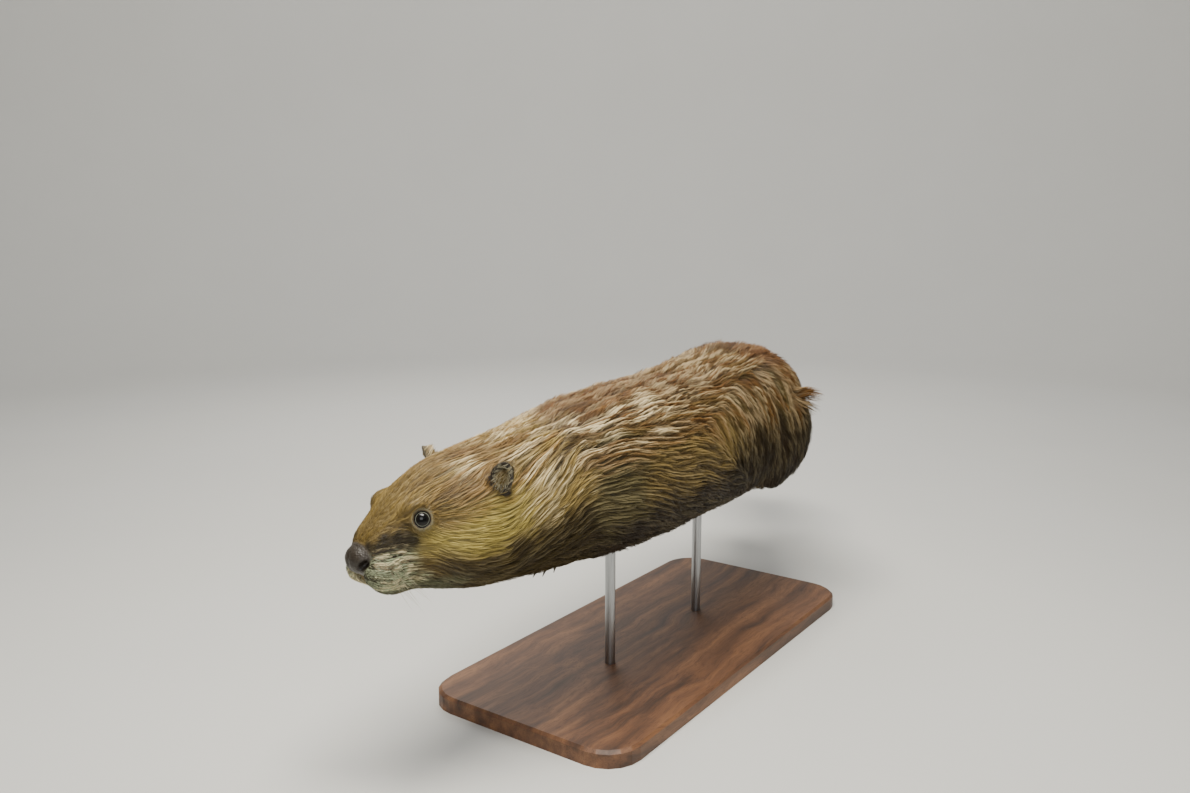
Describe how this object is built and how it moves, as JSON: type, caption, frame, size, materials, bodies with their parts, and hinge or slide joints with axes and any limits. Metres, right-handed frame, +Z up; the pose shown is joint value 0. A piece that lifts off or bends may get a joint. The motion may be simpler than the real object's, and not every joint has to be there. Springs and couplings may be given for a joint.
{
  "type": "beaver",
  "caption": "Life-size still model of a North American beaver swimming under water, head low and flat tail trailing, held level by two short rods on a flat wooden display base.",
  "frame": {"origin": "centre of the underside of the display base, which rests on the floor", "axes": "+Z up, -X the way the beaver swims (head end), +X towards the tail, -Y the beaver's left side, +Y its right side"},
  "size_m": [1.0173, 0.3094, 0.3661],
  "materials": {
    "coat": "wet golden-brown fur, cream on the back, tan on the cheeks, dark brown beneath",
    "tail_leather": "dark grey-brown scaled leathery skin, wet",
    "foot_leather": "dark grey-brown bare skin with short hair on top",
    "nose_leather": "black pebbled bare skin, moist",
    "eye": "glossy near-black eye",
    "claw": "dark horn, satin",
    "stand_wood": "dark stained hardwood, satin varnish",
    "stand_metal": "brushed steel rod"
  },
  "bodies": {
    "root": {"claw_fore_left_1": "claw", "claw_fore_left_2": "claw", "claw_fore_left_3": "claw", "claw_fore_left_4": "claw", "claw_fore_left_5": "claw", "claw_fore_right_1": "claw", "claw_fore_right_2": "claw", "claw_fore_right_3": "claw", "claw_fore_right_4": "claw", "claw_fore_right_5": "claw", "claw_hind_left_1": "claw", "claw_hind_left_2": "claw", "claw_hind_left_3": "claw", "claw_hind_left_4": "claw", "claw_hind_left_5": "claw", "claw_hind_right_1": "claw", "claw_hind_right_2": "claw", "claw_hind_right_3": "claw", "claw_hind_right_4": "claw", "claw_hind_right_5": "claw", "ear_left": "coat", "ear_right": "coat", "eye_left": "eye", "eye_right": "eye", "fore_foot_left": "foot_leather", "fore_foot_right": "foot_leather", "fore_leg_left": "coat", "fore_leg_right": "coat", "head": "coat", "hind_foot_left": "foot_leather", "hind_foot_right": "foot_leather", "hind_leg_left": "coat", "hind_leg_right": "coat", "neck": "coat", "nose": "nose_leather", "stand_base": "stand_wood", "stand_rod_front": "stand_metal", "stand_rod_rear": "stand_metal", "tail": "tail_leather", "tail_base": "coat", "trunk": "coat"}
  },
  "joints": []
}
